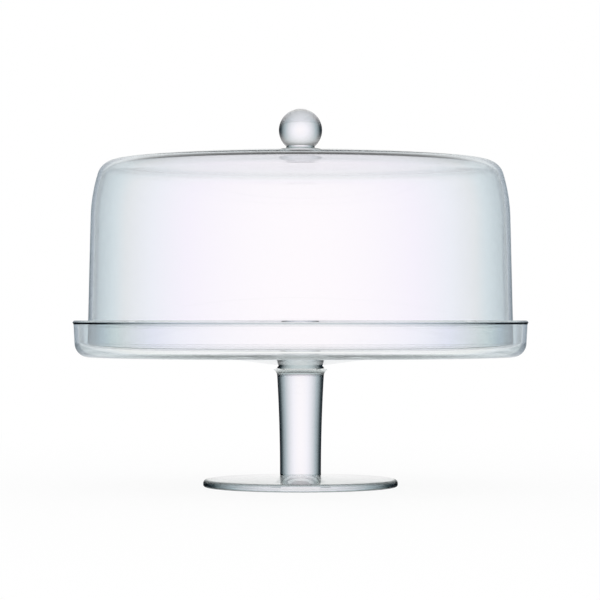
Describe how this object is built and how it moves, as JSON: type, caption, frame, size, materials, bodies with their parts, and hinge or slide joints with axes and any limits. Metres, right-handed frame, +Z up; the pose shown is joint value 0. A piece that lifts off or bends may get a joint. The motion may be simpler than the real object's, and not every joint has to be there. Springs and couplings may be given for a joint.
{
  "type": "cake stand with dome",
  "caption": "Clear glass cake stand: deep lipped plate on a collared stem and round foot, under a lift-off glass dome with a ball knob.",
  "frame": {"origin": "centre of the foot's underside, at the table", "axes": "+Z up along the axis of the stem, plate and dome; X and Y are alike, as every piece is round"},
  "size_m": [0.3198, 0.3198, 0.2659],
  "materials": {
    "clear_glass": "fire polished, smooth and clear, faint grey-green where thick"
  },
  "bodies": {
    "stand": {"plate": "clear_glass", "stem_collar": "clear_glass", "stem": "clear_glass", "foot": "clear_glass"},
    "cover": {"dome": "clear_glass", "knob_neck": "clear_glass", "knob": "clear_glass"}
  },
  "joints": [
    {"name": "dome_lift", "type": "slide", "parent": "stand", "child": "cover", "axis": [0, 0, 1], "range_m": [0, 0.15]}
  ]
}
